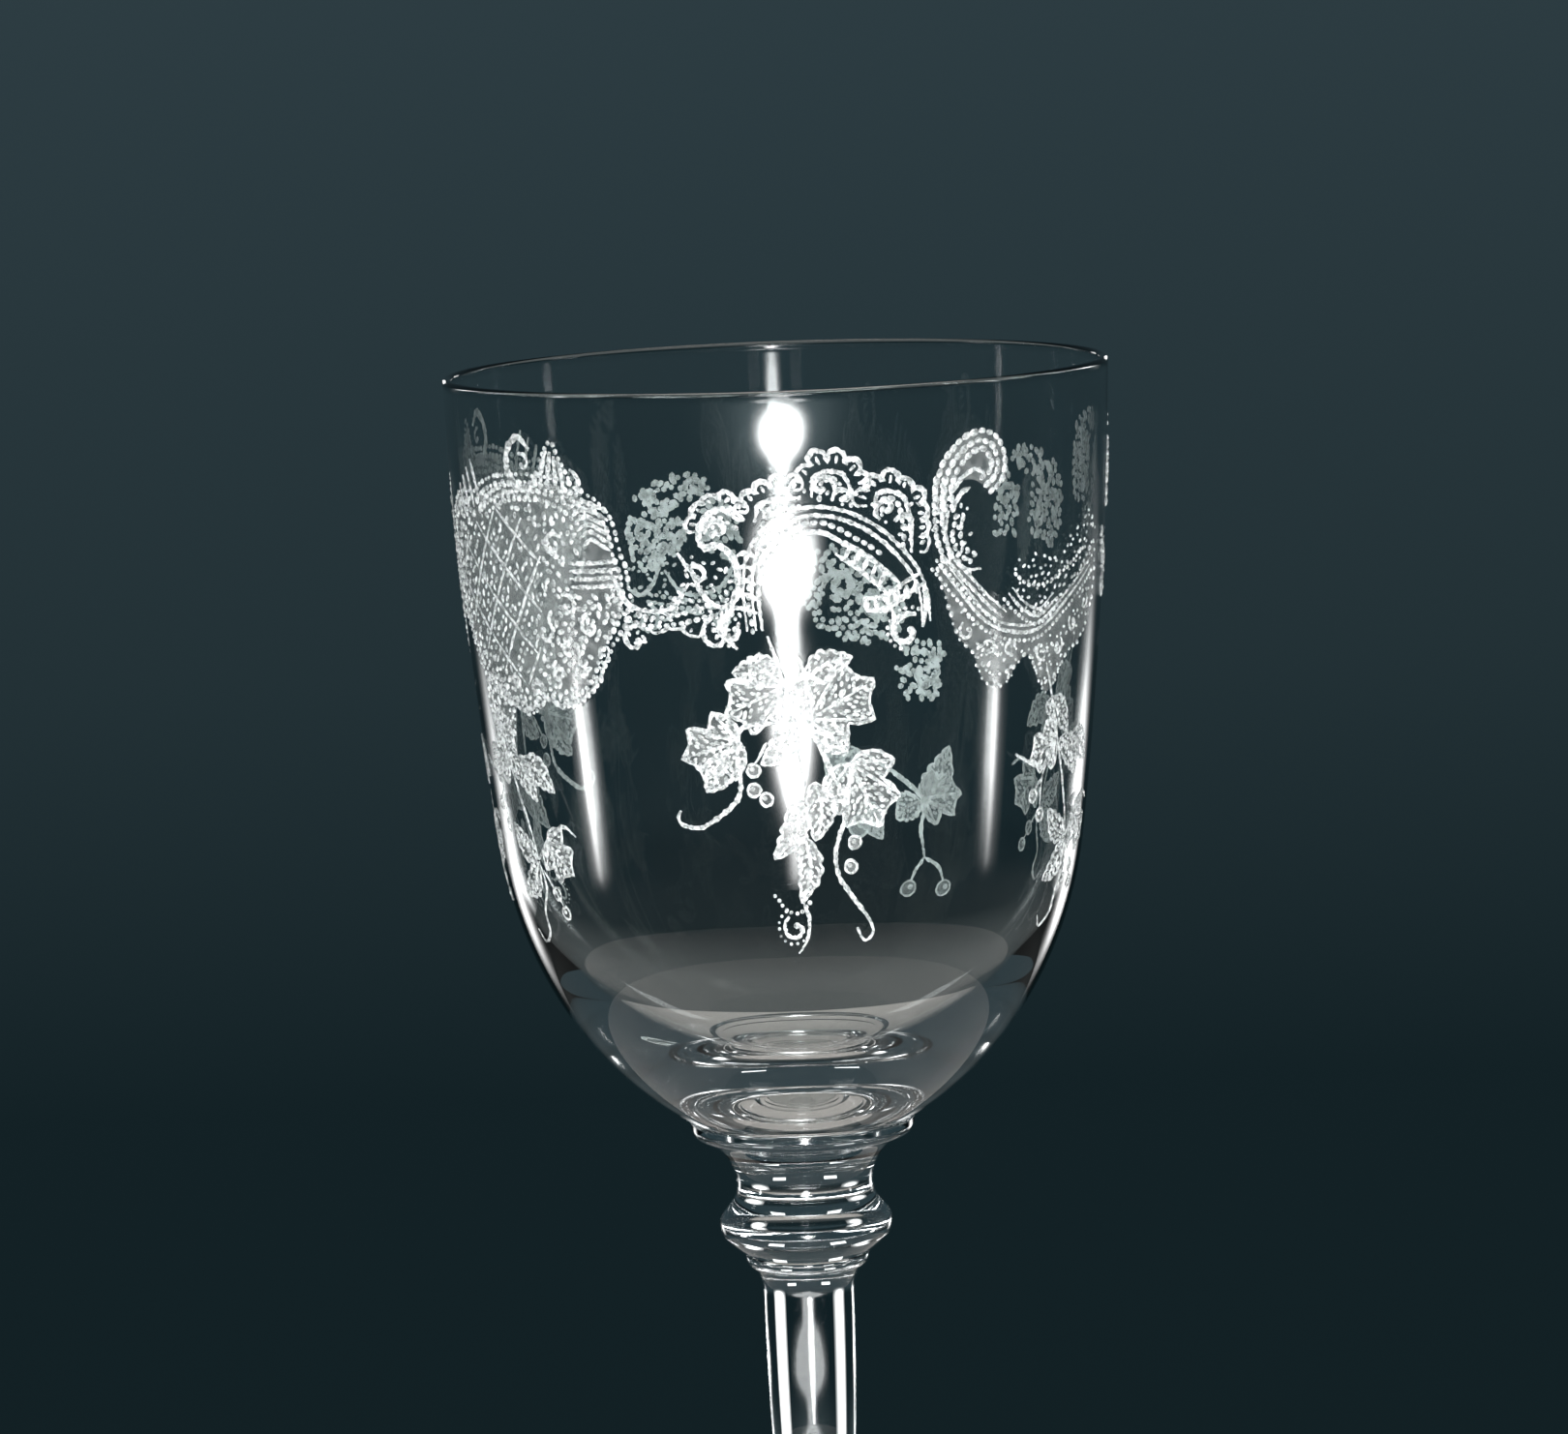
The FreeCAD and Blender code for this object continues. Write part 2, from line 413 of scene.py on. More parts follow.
class Etching:
    """One piece of the ornament: closed thin solids on the wall."""

    def __init__(self, name):
        self.name = name
        self.points = []
        self.faces = []
        self.slots = []
        self.count = 0
        self.layer = 0

    def place(self, turn, rise, flip):
        """Where the next motif goes: turned round the bowl, raised, and mirrored if flip is -1."""
        self.spot = (turn * ARC, rise, flip)

    def add(self, x, y, lift, faces, slots):
        """Adds one closed solid, given by its points and by faces that number them."""
        turn, rise, flip = self.spot
        self.points.append(np.stack([flip * x + turn, y + rise, lift], axis=-1))
        self.faces += [[v + self.count for v in face][::flip] for face in faces]
        self.slots += slots
        self.count += len(x)

    def ribbon(self, path, width, taper=(0.5, 0.5), closed=False, rough=0.3):
        """A domed strip along the path. It narrows to a share of its width at each end."""
        count = len(path)
        side = left_of(path, closed)
        t = np.linspace(0, 1, count)
        wide = np.full(count, float(width))
        if not closed:
            wide *= np.minimum(1, np.minimum(taper[0] + (1 - taper[0]) * t * 5,
                                             taper[1] + (1 - taper[1]) * (1 - t) * 5))
        wide *= np.array([1 + rough * rng.uniform(-1, 1) for _ in range(count)])
        middle = path + side * np.array([0.05 * rng.uniform(-1, 1) for _ in range(count)])[:, None]
        left = middle + side * wide[:, None] / 2
        right = middle - side * wide[:, None] / 2
        x, y = np.stack([left, middle, right], axis=1).reshape(-1, 2).T
        low = np.full(count, LIFT)
        lift = np.stack([low, LIFT + wide * 0.28, low], axis=1).ravel()
        faces, slots = [], []
        for i in range(count if closed else count - 1):
            a, b = 3 * i, 3 * ((i + 1) % count)
            faces += [[a + 1, b + 1, b, a], [a + 2, b + 2, b + 1, a + 1], [a, b, b + 2, a + 2]]
            slots += [LINE, LINE, BACK_LINE_SHADED]
        if not closed:
            last = 3 * (count - 1)
            faces += [[2, 1, 0], [last, last + 1, last + 2]]
            slots += [LINE, LINE]
        self.add(x, y, lift, faces, slots)

    def line(self, points, width):
        """A ribbon on a smooth path through the points."""
        self.ribbon(curve(points), width)

    def dab(self, x, y, length, width, angle=0.0, sides=7):
        """A small oval pearl, its length at angle degrees."""
        around = np.arange(sides) * 2 * math.pi / sides
        c, s = math.cos(math.radians(angle)), math.sin(math.radians(angle))
        u, v = np.cos(around) * length / 2, np.sin(around) * width / 2
        px = np.concatenate([x + u * c - v * s, x + 0.55 * (u * c - v * s), [x]])
        py = np.concatenate([y + u * s + v * c, y + 0.55 * (u * s + v * c), [y]])
        lift = LIFT + width * np.repeat([0, 0.24, 0.3], [sides, sides, 1])
        faces, slots = [], []
        for i in range(sides):
            j = (i + 1) % sides
            faces += [[i, j, sides + j, sides + i], [sides + i, sides + j, 2 * sides]]
            slots += [LINE, LINE]
        faces.append(list(range(sides))[::-1])
        slots.append(BACK_LINE_SHADED)
        self.add(px, py, lift, faces, slots)

    def beads(self, path, every, size, jitter=0.15, stretch=1.0):
        """Pearls along the path."""
        spots = spaced(path, every)
        for (x, y), along in zip(spots, np.gradient(spots, axis=0)):
            k = 1 + jitter * rng.uniform(-1, 1)
            self.dab(x + jitter * rng.uniform(-.4, .4), y + jitter * rng.uniform(-.4, .4),
                     size * k * stretch, size * k, heading(along))

    def stipple(self, outline, every, length, width, angle, spread, keep=0.9, bare=()):
        """Dabs scattered over an outline, apart from the bare areas."""
        low, high = outline.min(0), outline.max(0)
        spots = []
        y = low[1]
        odd = False
        while y < high[1]:
            x = low[0] + (every / 2 if odd else 0)
            while x < high[0]:
                spots.append((x + every * rng.uniform(-.3, .3), y + every * rng.uniform(-.3, .3)))
                x += every
            y += every * 0.8
            odd = not odd
        spots = np.array(spots)
        hit = inside(spots, outline)
        for area in bare:
            hit &= ~inside(spots, area)
        for x, y in spots[hit]:
            if rng.random() < keep:
                k = rng.uniform(0.6, 1.25)
                self.dab(x, y, length * k, width * (0.8 + 0.3 * k), angle + spread * rng.uniform(-1, 1), 6)

    def patch(self, outline, grid=1.3):
        """A thin frosted sheet inside the outline."""
        low, high = outline.min(0) + [grid / 2, grid / 2], outline.max(0)
        columns, rows = np.meshgrid(np.arange(low[0], high[0], grid), np.arange(low[1], high[1], grid))
        inner = np.stack([columns.ravel(), rows.ravel()], axis=1)
        inner = inner[inside(inner, outline)]
        gaps = np.hypot(inner[:, None, 0] - outline[None, :, 0], inner[:, None, 1] - outline[None, :, 1])
        inner = inner[gaps.min(axis=1) > 0.45 * grid]
        places = [Vector(p) for p in np.vstack([outline, inner])]
        cut = delaunay_2d_cdt(places, [], [list(range(len(outline)))], 1, 1e-5, False)
        flat = np.array([tuple(p) for p in cut[0]])
        centres = np.array([flat[face].mean(0) for face in cut[2]])
        top = [list(face) for face, kept in zip(cut[2], inside(centres, outline)) if kept]
        top = [f if np.cross(flat[f[1]] - flat[f[0]], flat[f[2]] - flat[f[0]]) > 0 else f[::-1] for f in top]
        edges = {(a, b): None for face in top for a, b in zip(face, face[1:] + face[:1])}
        rim = [(a, b) for a, b in edges if (b, a) not in edges]
        count = len(flat)
        faces = top + [[v + count for v in reversed(face)] for face in top]
        faces += [[a, a + count, b + count, b] for a, b in rim]
        slots = [FROST] * len(top) + [BACK_FROST_SHADED] * len(top) + [FROST] * len(rim)
        under = FROST_LIFT + LAYER_STEP * (self.layer % LAYERS)
        self.layer += 1
        self.add(np.tile(flat[:, 0], 2), np.tile(flat[:, 1], 2),
                 np.repeat([under + FROST_DEPTH, under], count), faces, slots)

    def built(self, materials):
        """Makes the piece's mesh on the wall."""
        mesh = bpy.data.meshes.new(self.name)
        mesh.from_pydata(on_wall(*np.vstack(self.points).T).tolist(), [], self.faces)
        mesh.polygons.foreach_set("material_index", self.slots)
        mesh.shade_smooth()
        mesh.set_sharp_from_angle(angle=math.radians(75))
        for material in materials:
            mesh.materials.append(material)
        obj = linked(self.name, mesh)
        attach(obj, "root")


def frill(art, points, height, every, side=1, width=0.6):
    """A thick line in loops along one side of a path, with a stroke inside each loop."""
    base = spaced(curve(points), every)
    track = []
    for a, b in zip(base, base[1:]):
        d = b - a
        up = np.array([-d[1], d[0]]) * side / np.hypot(*d) * height * (1 + 0.25 * rng.uniform(-1, 1))
        track += [a + up * 0.1, a - d * 0.05 + up * 0.65, a + d * 0.42 + up, a + d + up * 0.62]
        foot = a + d / 2
        bend = d * rng.uniform(-0.2, 0.2)
        stroke = [foot + up * 0.05, foot + up * 0.3 + bend / 2, foot + up * 0.6 + bend]
        art.ribbon(np.array(stroke), width * 0.75)
    track.append(base[-1])
    art.ribbon(curve(track, flat=True), width)


def pearl_rows(art, points, rows, size, every=0.95, stretch=1.3):
    """Rows of pearls side by side; rows lists each row's distance from the path."""
    path = curve(points)
    for by in rows:
        art.beads(shifted(path, by), every, size, stretch=stretch)


def volute(art, centre, radius, start, sweep, width, ball=0.9, pearls=0.0):
    """A curl that ends in a ball, with pearls along its outside."""
    path = curl(centre, radius, start, sweep, 0.22)
    art.ribbon(path, width, taper=(0.6, 1.0))
    art.dab(*path[-1], ball, ball * 0.9)
    if pearls:
        out = path - sheet([centre])[0]
        outside = path + out / np.maximum(np.hypot(*out.T), 0.3)[:, None] * 0.75
        art.beads(outside[:max(3, int(len(path) * 0.75))], 0.85, pearls)


def volutes(art, curls, width, ball):
    """Several curls, each given as its centre, radius, start and sweep."""
    for centre, radius, start, sweep in curls:
        volute(art, centre, radius, start, sweep, width, ball)


def mottle(art, points):
    """Coarse dabs that lie every way inside a closed outline."""
    art.stipple(loop(points, 0.3), 0.95, 1.15, 0.75, angle=20, spread=90, keep=0.85)


VEIN = 0.42                       # width of a leaf's edge and veins


def leaf(art, base, tip, width):
    """A toothed leaf: frost, a rough edge and strokes that slant from the midrib."""
    foot, end = sheet([base, tip])
    d = end - foot
    long = np.hypot(*d)
    across = np.array([-d[1], d[0]]) / long
    t = np.linspace(0, 1, 29)
    rib = foot + d * t[:, None] + across * (0.12 * long * np.sin(np.pi * t))[:, None]
    body = np.sin(np.pi * t ** 0.8) ** 0.85
    teeth = 1 + 0.3 * np.abs(np.sin(np.pi * 5 * t)) - 0.15
    reach = across * (width / 2 * body * teeth)[:, None]
    left = rib + reach
    right = rib - reach
    art.patch(spaced(np.vstack([left, right[::-1][1:-1]]), 0.5, closed=True), grid=1.0)
    art.ribbon(left, VEIN)
    art.ribbon(right, VEIN)
    art.ribbon(rib, VEIN, taper=(1.0, 0.4))
    for side, edge in ((1, left), (-1, right)):
        blade = spaced(np.vstack([rib, edge[::-1]]), 0.5, closed=True)
        art.stipple(blade, 0.72, 0.75, 0.38, heading(d) + 40 * side, 18, 0.95)


# One half of a five-lobed leaf, as shares of its length along and across the midrib
IVY = [(0, 0), (-.05, .2), (.04, .42), (.26, .58), (.36, .42), (.42, .3), (.58, .4), (.76, .44), (.78, .28),
       (.84, .15), (1, 0)]
IVY_ARCS = ((0, 4), (3, 6), (5, 8), (7, 11))   # the smooth stretches of IVY, as slices
IVY_VEINS = ((1, 0), (.76, .44), (.76, -.44), (.26, .58), (.26, -.58))


def ivy(art, base, tip, size=1.0):
    """A five-lobed leaf: frost, a rough edge, main veins and slanting strokes between them."""
    foot, end = sheet([base, tip])
    d = (end - foot) * size
    across = np.array([-d[1], d[0]])
    sides = []
    for way in (1, -1):
        p = np.array([foot + d * u + across * v * way for u, v in IVY])
        sides.append(np.vstack([curve(p[first:stop], flat=True) for first, stop in IVY_ARCS]))
    whole = spaced(np.vstack([sides[0], sides[1][::-1]]), 0.5, closed=True)
    art.patch(whole, grid=1.1)
    art.ribbon(whole, VEIN, closed=True, rough=0.4)
    for u, v in IVY_VEINS:
        end = foot + (d * u + across * v) * 0.88
        art.ribbon(np.array([foot, (foot + end) / 2, end]), VEIN, taper=(1, 0.4))
    spine = np.linspace(foot, foot + d, 20)
    for edge, slant in zip(sides, (38, -38)):
        blade = spaced(np.vstack([spine, edge[::-1]]), 0.5, closed=True)
        art.stipple(blade, 0.78, 0.85, 0.42, heading(d) + slant, 20, 0.95)


def leaves(art, each):
    """Several leaves, each given as its kind, base and tip, and its width or size."""
    for kind, *shape in each:
        kind(art, *shape)


def berry(art, at, size=1.5):
    """A round berry: a ring, frost and a bright dot."""
    x, y = sheet([at])[0]
    ring = curl(at, size / 2, 0, 360, 1.0)[:-1]
    art.patch(spaced(ring, 0.4, closed=True), grid=0.8)
    art.ribbon(ring, 0.32, closed=True)
    art.dab(x - size * 0.12, y + size * 0.1, size * 0.42, size * 0.38)


def lattice(art, area, origin, angles, pitch):
    """Two families of crossing lines inside an area, with pearls in every cell."""
    middle = sheet([origin])[0]
    a, b = (np.array([math.cos(math.radians(k)), math.sin(math.radians(k))]) * pitch for k in angles)
    for along, step in ((a, b), (b, a)):
        for k in range(-8, 9):
            row = middle + step * k + along * np.arange(-9, 9, 0.07)[:, None]
            hit = np.flatnonzero(inside(row, area))
            if len(hit) > 12:
                art.ribbon(spaced(row[hit[0]:hit[-1]], 0.5), 0.44)
    shares = [0.18, 0.39, 0.61, 0.82]
    spots = np.array([middle + a * (i + u + rng.uniform(-.06, .06)) + b * (j + v + rng.uniform(-.06, .06))
                      for i in range(-8, 9) for j in range(-8, 9) for u in shares for v in shares])
    for x, y in spots[inside(spots, area)]:
        if rng.random() < 0.78:
            art.dab(x, y, rng.uniform(0.55, 1.2), rng.uniform(0.4, 0.6), rng.uniform(20, 110), 6)


def lattice_panel(art):
    """A shield of lattice and pearls, at -80 to -29 degrees, 5 to 44 mm down."""
    body = loop([(-80, -17), (-74, -13.5), (-66, -13), (-61, -11.6), (-55, -10.6), (-48, -10.4), (-41, -10.6),
        (-35, -12.2), (-31.3, -14.6), (-30, -18), (-28.6, -21.5), (-29.6, -25.5), (-32.6, -28.3), (-35, -31),
        (-37.5, -33.4), (-43, -35.2), (-48, -34.2), (-53, -36.4), (-58, -35.8), (-63, -35), (-70, -32.4),
        (-76, -28), (-80, -24)])
    area = loop([(-62, -14.3), (-53, -13.4), (-47.5, -15.2), (-45.5, -20), (-46.5, -26), (-49.5, -31.5),
        (-53, -34), (-59, -33), (-66, -31), (-74, -27.6), (-78, -22.5), (-72, -17.6)])
    bars = sheet([(-39, -12), (-34, -12), (-30, -14.4), (-30, -18.6), (-28.5, -22.8), (-40, -22.6),
        (-40, -18.8), (-36.5, -18), (-38.6, -14)])
    art.patch(body)
    lattice(art, area, (-56.6, -20.4), (-38, 56), 4.75)
    art.stipple(body, 1.16, 1, 0.58, 60, spread=80, keep=0.88, bare=(area, bars))
    for by in (0, 0.9):
        art.beads(shifted(fine(body), by, closed=True), 0.92, 0.62, jitter=0.3, stretch=1.2)
    # Pearled bands over the top and two groups of bars
    pearl_rows(art, [(-62, -13.6), (-57, -12.2), (-51, -11.4), (-45, -11.4), (-40, -12.2), (-36, -14)],
        (0.9, 0, -0.95), 0.62)
    for k in range(6):
        y = -12.6 - 0.86 * k
        art.line([(-38.5 + 0.5 * k, y - 0.5), (-35.6 + 0.3 * k, y + 0.35), (-32.4, y - 0.2),
            (-30.4, y - 0.9)], 0.5)
    for k in range(4):
        y = -19.4 - 0.9 * k
        art.line([(-39.4, y), (-34.6, y + 0.1), (-29 + 0.2 * k, y + 0.5)], 0.5)
    # Scrollwork
    volutes(art, (((-42.8, -17.6), 1.7, 40, 300), ((-40.6, -24.4), 1.5, 120, -290),
        ((-46.8, -27.6), 1.5, 60, -300), ((-41.2, -29.6), 1.6, -40, 300), ((-35.8, -26.6), 1.5, 100, 290),
        ((-44.4, -32.6), 1.2, 0, 300), ((-38.6, -32), 1.2, 180, -290), ((-51, -34.4), 1.2, 0, 290),
        ((-57, -34), 1.2, 180, -290)), 0.6, 0.85)
    # Curls on top
    art.line([(-46.8, -6.6), (-49.6, -5.2), (-52.6, -6.6), (-53.2, -9), (-50.6, -11), (-47, -10.8),
        (-45.2, -9)], 0.95)
    volute(art, (-48.8, -8.2), 1.2, 120, -260, 0.5, ball=0.7)
    for k in range(4):
        art.line([(-44.6 + 1.7 * k, -11), (-44 + 1.5 * k, -8.6 - 0.3 * k), (-42.6 + 0.8 * k, -6.2 - 0.5 * k)],
            0.62)
    art.beads(curve([(-44.8, -9.4), (-43.6, -7), (-41.6, -5.6), (-40, -7.4), (-38, -9.6)]), 0.8, 0.6)
    art.line([(-36.6, -11.6), (-36, -9.8), (-37.6, -8.6)], 0.6)
    for k in range(5):
        art.line([(-64 - 2.4 * k, -13.4 - 0.5 * k), (-65 - 2.6 * k, -10.8 - 0.6 * k),
            (-66.6 - 2.2 * k, -8.4 - k)], 0.55)
    # The hem and the drop below it
    frill(art, [(-66, -34), (-60, -35.4), (-54, -36.2), (-48, -34.4), (-43, -35.2), (-37, -33), (-33, -28.8)],
        1, 1.9, side=-1, width=0.5)
    drop = loop([(-62, -34), (-59.4, -37), (-60, -39.6), (-62, -41.6), (-64.4, -44), (-66.6, -41.4),
        (-69, -38.6), (-70, -35), (-66, -33.6)])
    art.patch(drop)
    art.stipple(drop, 0.9, 0.8, 0.5, 70, spread=60)
    art.beads(fine(drop), 0.95, 0.6, jitter=0.3)


def scroll_cluster(art):
    """Leafy scrolls, at -32 to -9 degrees, 9 to 20 mm down."""
    mottle(art, [(-31, -14), (-28.4, -11.6), (-25, -12.6), (-24, -16), (-25.4, -19.6), (-31, -19.4)])
    mottle(art, [(-27, -10.4), (-23, -8.6), (-18, -9), (-11, -11), (-8.6, -15), (-11, -20), (-19, -19.4),
        (-21.4, -16), (-20.4, -12.6)])
    volutes(art, (((-27.8, -15), 1.8, 0, 300), ((-23.4, -10.6), 1.4, 0, 300), ((-16.4, -12.4), 2, 90, -300),
        ((-12.4, -15.8), 1.8, 200, -300), ((-17.4, -17.4), 1.6, 20, 300)), 0.8, 1.1)


def garland(art):
    """A thick beaded band between two curls, at -31 to -6 degrees, 18 to 29 mm down."""
    band = loop([(-31, -19.6), (-28.6, -22.6), (-24.4, -23.6), (-19.6, -23), (-17.4, -19), (-13, -18),
        (-8.4, -21), (-7.4, -25), (-9, -28.8), (-12, -28.6), (-14.6, -26.4), (-18, -26), (-22, -26),
        (-24.6, -28.4), (-27.4, -29), (-29.6, -26), (-31, -23)])
    art.stipple(band, 1.05, 0.75, 0.42, angle=10, spread=80, keep=0.75)
    art.line([(-30.6, -20.6), (-28, -23.6), (-24, -24.6), (-19.4, -24.2), (-16.2, -21.4)], 0.55)
    pearl_rows(art, [(-30.6, -21.4), (-27.4, -25), (-23, -25.9), (-17.6, -25.4), (-12.6, -24.6)], (0.5, -0.5),
        0.58)
    art.line([(-18, -18), (-15.4, -20.4), (-13.8, -22.8), (-10.8, -24.2), (-8, -23.2)], 0.55)
    frill(art, [(-23.6, -26.6), (-20.4, -26), (-17, -26.2), (-14.6, -27)], 0.8, 1.9, side=-1, width=0.4)
    volutes(art, (((-26.8, -28), 1.8, 60, 300), ((-14.6, -20.6), 1.4, 160, -290),
        ((-11.6, -27.4), 2.1, 100, 290)), 0.58, 0.85)


def arch(art):
    """An arch with a looped crest, at -15 to 26 degrees, 7 to 30 mm down."""
    outer = [(-6.4, -27), (-6.8, -22), (-5.6, -18), (-2, -14.8), (3, -13.3), (8.6, -13.4), (14.6, -15),
        (19.6, -17.6), (23.6, -20.8), (25.6, -24), (26, -27)]
    inner = [(-3.8, -27), (-4.2, -22.4), (-2.6, -19), (1, -16.8), (6, -16), (10.4, -17.4), (15.6, -19.6),
        (20.4, -22.4)]
    for by in (0, -0.95):
        art.ribbon(shifted(curve(outer), by), 0.46)
    art.line(inner, 0.6)
    art.beads(shifted(curve(inner)[:-14], 1.1), 1, 0.6, stretch=1.4)
    # The stepped strip across the right side
    strip = curve([(9, -18.6), (12.6, -20.2), (15.6, -22), (18, -23.4)])
    art.ribbon(strip, 0.6)
    art.ribbon(shifted(strip, 1.7), 0.5)
    for k in range(6):
        a = spaced(strip, 1.3)[min(k + 1, 5)]
        art.ribbon(np.array([a, a + [0.35, 0.85], a + [0.7, 1.7]]), 0.62)
    art.line([(14.2, -25.2), (17.6, -25.2), (21.4, -23.8), (24.6, -22.6)], 0.7)
    art.line([(14.2, -23.8), (17.2, -23.8), (21, -22.4), (24, -21.4)], 0.6)
    for k in range(6):
        x = 14.4 + 1.85 * k
        art.line([(x, -25.2 + 0.06 * k * k), (x - 0.2, -24.4 + 0.06 * k * k),
            (x - 0.3, -23.6 + 0.06 * k * k)], 0.72)
    # The right foot
    art.line([(24.6, -22.6), (25.2, -25), (24.6, -27.6)], 0.5)
    volute(art, (21.6, -28), 2.2, 60, 330, 0.72, pearls=0.5)
    art.line([(18.6, -24.8), (19.4, -26.6), (18.8, -28.2)], 0.6)
    # The left foot is one large curl with a fan of strokes
    art.line([(-8.2, -29), (-10.4, -27.4), (-9.4, -24.6), (-7.6, -22), (-8.2, -18.8), (-10.6, -17.2),
        (-13.2, -17.4), (-14, -15.6), (-12, -13.6), (-8.6, -13), (-6, -14.4)], 0.8)
    volute(art, (-10.8, -15.4), 1.4, 200, -300, 0.65, ball=0.9)
    for k in range(5):
        art.line([(-7.6 - 0.3 * k, -18.4 - 1.5 * k), (-5.8 - 0.2 * k, -18 - 1.6 * k),
            (-4.6, -18.6 - 1.6 * k)], 0.55)
    volute(art, (-9, -26.9), 1.9, 80, 300, 0.72, pearls=0.5)
    # The crest: loops on the left, then three swelling lobes
    for points, height, every in (([(-14.4, -15.6), (-13.4, -13), (-9.6, -12.2), (-6, -13.6)], 1.2, 1.6),
            ([(-5.8, -14.4), (-4.6, -12), (0, -11), (3.6, -11.2)], 1.5, 1.7), ([(3.8, -12), (4.4, -9.4),
            (7.6, -8.3), (11.6, -8.9), (13.6, -11.6)], 1.5, 1.7), ([(14.4, -13.4), (15.4, -11.4),
            (18.6, -10.9), (22.2, -12), (23.8, -15), (24, -19)], 1.4, 1.7)):
        frill(art, points, height, every)
        art.ribbon(shifted(curve(points), -0.95), 0.55)
        art.beads(shifted(curve(points), -1.85), 0.95, 0.6, jitter=0.3, stretch=1.3)
    volutes(art, (((-1.6, -13), 1, 200, -290), ((7, -10.9), 1.5, -20, 300), ((10.6, -12.2), 1.2, 200, -300),
        ((18, -13.8), 1.4, 240, -300), ((21.4, -15.8), 1.3, 160, -290)), 0.6, 0.85)
    art.stipple(loop([(3, -13), (5, -9.6), (9, -8.6), (13, -10.8), (16.4, -12), (21, -12), (23, -15),
        (22.6, -18.6), (17, -15.8), (10, -13.2)], 0.3), 1.3, 0.6, 0.42, 60, spread=60, keep=0.6)


def swag(art):
    """A pearled swag with two hanging drops, at 27 to 73 degrees, 17 to 37 mm down."""
    body = loop([(27.4, -21), (30, -20), (34, -22), (37.6, -24.8), (42, -26.4), (46, -27), (50, -27.4),
        (56, -26.6), (62, -25), (68, -22.4), (72, -20.6), (73, -24), (71.6, -28), (67, -31.4), (61, -33),
        (57, -35.4), (52, -35.2), (48.4, -32.2), (44, -33.6), (39, -33.8), (35.4, -31.4), (31.4, -28.8),
        (29.4, -25)])
    art.patch(body)
    for p in ([(27.6, -20.6), (32, -24), (37.4, -27.6), (43.6, -29.3), (51.6, -29.4), (61, -26.4),
            (70.6, -23.4)], [(28.4, -19.6), (33, -22.8), (37.6, -25.6), (41.6, -27.6)], [(42.8, -24.8),
            (46, -26.7), (51, -28), (56, -26.4)]):
        art.line(p, 0.42)
        art.ribbon(shifted(curve(p), 0.8), 0.32)
        art.beads(shifted(curve(p), -0.9), 0.8, 0.5, stretch=1.3)
    art.beads(curve([(44.4, -22.8), (48, -24.2), (53, -24.3), (59, -23.2), (66, -21.2)]), 0.9, 0.5,
        stretch=1.4)
    art.stipple(loop([(43.6, -22), (48, -20.8), (56, -20.4), (64, -18), (71, -17), (72, -22), (60, -26),
        (52, -28.4), (46, -26)], 0.3), 1.1, 0.65, 0.38, 15, spread=60, keep=0.7)
    art.stipple(loop([(31, -25), (38, -29), (46, -30.6), (56, -30.2), (66, -26.6), (71, -25), (70, -28.6),
        (62, -31.6), (55, -33.6), (50, -31.8), (44, -32.6), (37, -31.6)], 0.3), 1.15, 0.6, 0.36, 0, spread=50,
        keep=0.8)
    # A pearled hem with two hanging drops
    art.beads(fine(body), 1.1, 0.5, jitter=0.35, stretch=1.2)
    for drop in ([(36, -30.6), (36.4, -33.6), (39.6, -35.4), (43.2, -35), (45, -32.6), (44, -30.6)],
            [(50, -31.8), (51, -34.8), (54, -37), (57.4, -35.6), (59, -33), (57, -31.6)]):
        hem = loop(drop)
        art.patch(hem)
        art.stipple(hem, 1.15, 0.7, 0.4, 40, spread=70, keep=0.7)
        art.beads(fine(hem), 1.05, 0.46, jitter=0.3)
    volutes(art, (((33.6, -28.6), 1.2, 120, 290), ((38.6, -31), 1.2, 160, -290),
        ((43.4, -31.4), 1.1, 20, 290), ((52.6, -32.4), 1.3, 120, 300), ((57.4, -32), 1.2, 60, -300),
        ((63, -29.6), 1.2, 140, 290), ((68, -27.6), 1.1, 60, -290)), 0.38, 0.7)


def tall_curl(art):
    """The tall pearled scroll at the left end of the swag."""
    sweep = [(27.4, -14.4), (27.4, -11.4), (29.4, -8.6), (32.6, -6.7), (36.4, -6), (39.8, -7), (41.4, -9.4),
        (40.8, -11.6), (38.4, -12.8)]
    head = loop(sweep + [(35, -11.4), (31.8, -11.6), (29.4, -13.6)])
    art.patch(head)
    pearl_rows(art, sweep, (0.1, -0.95, -1.95), 0.78, every=1.05, stretch=1.5)
    art.line([(30.4, -12.6), (32.4, -11), (35, -10.2), (37, -10.8)], 0.6)
    art.line([(30.6, -14.4), (32, -12.8), (34, -12.2)], 0.55)
    pearl_rows(art, [(27.2, -11), (26.8, -14), (27.2, -17.4), (28.6, -20)], (0, 1), 0.75, stretch=1.4)
    pearl_rows(art, [(31, -15.4), (30.4, -17.6), (31.6, -19.6), (34, -20.6)], (0, 1), 0.6)
    art.line([(29.6, -14.6), (29, -17), (30, -19.4), (32.8, -21.4), (36.4, -21.6)], 0.5)
    stem = loop([(27, -11), (30.4, -12.6), (33.6, -14), (34.4, -18), (36, -21.4), (30, -21.4), (26.8, -17.6)])
    art.stipple(stem, 1.05, 0.7, 0.42, 60, spread=80, keep=0.75)


